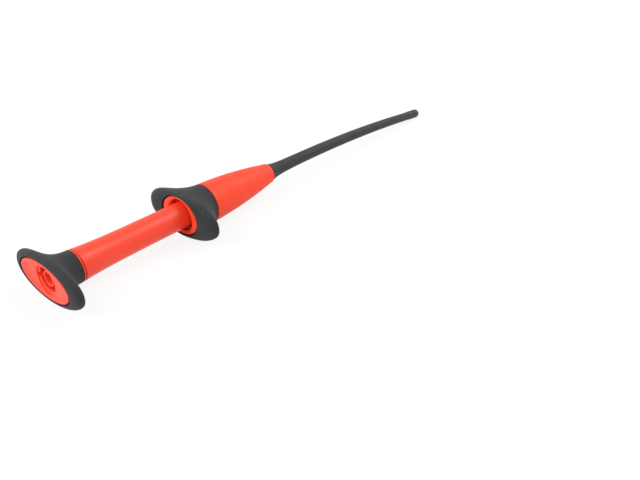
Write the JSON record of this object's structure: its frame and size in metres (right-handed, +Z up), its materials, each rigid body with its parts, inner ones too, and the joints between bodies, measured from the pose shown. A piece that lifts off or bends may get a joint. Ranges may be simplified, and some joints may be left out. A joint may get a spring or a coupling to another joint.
{
  "type": "plunger test clip",
  "caption": "Hand-held test clip with thumb plunger, winged finger guard, stepped socket, drooping flexible shaft and spring pincers hidden in its nose.",
  "frame": {"origin": "bottom centre of the clip's box, on the surface that the finger guard and the tip lie on", "axes": "+X from the socket end towards the pincers, +Y across the wings of the grips, +Z up"},
  "size_m": [0.1986, 0.0356, 0.0158],
  "materials": {
    "red_shell": "smooth moulded plastic with a soft shine",
    "red_bush": "matt moulded plastic",
    "soft_grip": "matt soft overmould",
    "sleeve_rubber": "satin flexible sleeve",
    "nose_plastic": "satin hard plastic",
    "white_plastic": "natural bearing plastic",
    "brass_tube": "drawn brass",
    "plated_brass": "nickel plated, turned",
    "plain_steel": "plain steel",
    "spring_steel": "bright spring wire"
  },
  "bodies": {
    "housing": {"handle_body": "red_shell", "finger_guard": "soft_grip", "retaining_bush": "red_bush", "spring_seat": "white_plastic", "guide_tube": "brass_tube", "anchor_ferrule": "plain_steel", "flex_sleeve": "sleeve_rubber", "shaft_liner": "white_plastic", "nose_tip": "nose_plastic", "return_spring": "spring_steel", "drive_cable": "spring_steel"},
    "plunger": {"plunger_tube": "red_shell", "thumb_grip": "soft_grip", "end_plate": "red_shell", "socket_shroud": "red_bush", "socket_contact": "plated_brass", "contact_clip": "plain_steel", "drive_rod": "plain_steel", "rod_coupler": "brass_tube", "stop_collar": "white_plastic"},
    "carrier": {"pincer_carrier": "plain_steel"},
    "jaw_left": {"pincer_left": "spring_steel"},
    "jaw_right": {"pincer_right": "spring_steel"}
  },
  "joints": [
    {"name": "plunger_slide", "type": "slide", "parent": "housing", "child": "plunger", "axis": [1, 0, 0], "range_m": [0, 0.012], "stiffness_N_per_m": 500, "springref_m": -0.005, "deforming": ["return_spring", "drive_cable"]},
    {"name": "pincer_slide", "type": "slide", "parent": "housing", "child": "carrier", "axis": [0.9943, 0, -0.1063], "range_m": [0, 0.012]},
    {"name": "left_spread", "type": "hinge", "parent": "carrier", "child": "jaw_left", "pos_m": [0.08666, 0.0004, 0.00351], "axis": [0.1063, 0, 0.9943], "range_deg": [0, 10.01]},
    {"name": "right_spread", "type": "hinge", "parent": "carrier", "child": "jaw_right", "pos_m": [0.08659, -0.0004, 0.00291], "axis": [0.1063, 0, 0.9943], "range_deg": [-10.01, 0]}
  ],
  "couplings": [
    {"joint": "pincer_slide", "follows": "plunger_slide", "ratio": 1},
    {"joint": "left_spread", "follows": "plunger_slide", "rad_per_m": 14.544},
    {"joint": "right_spread", "follows": "plunger_slide", "rad_per_m": -14.544}
  ]
}
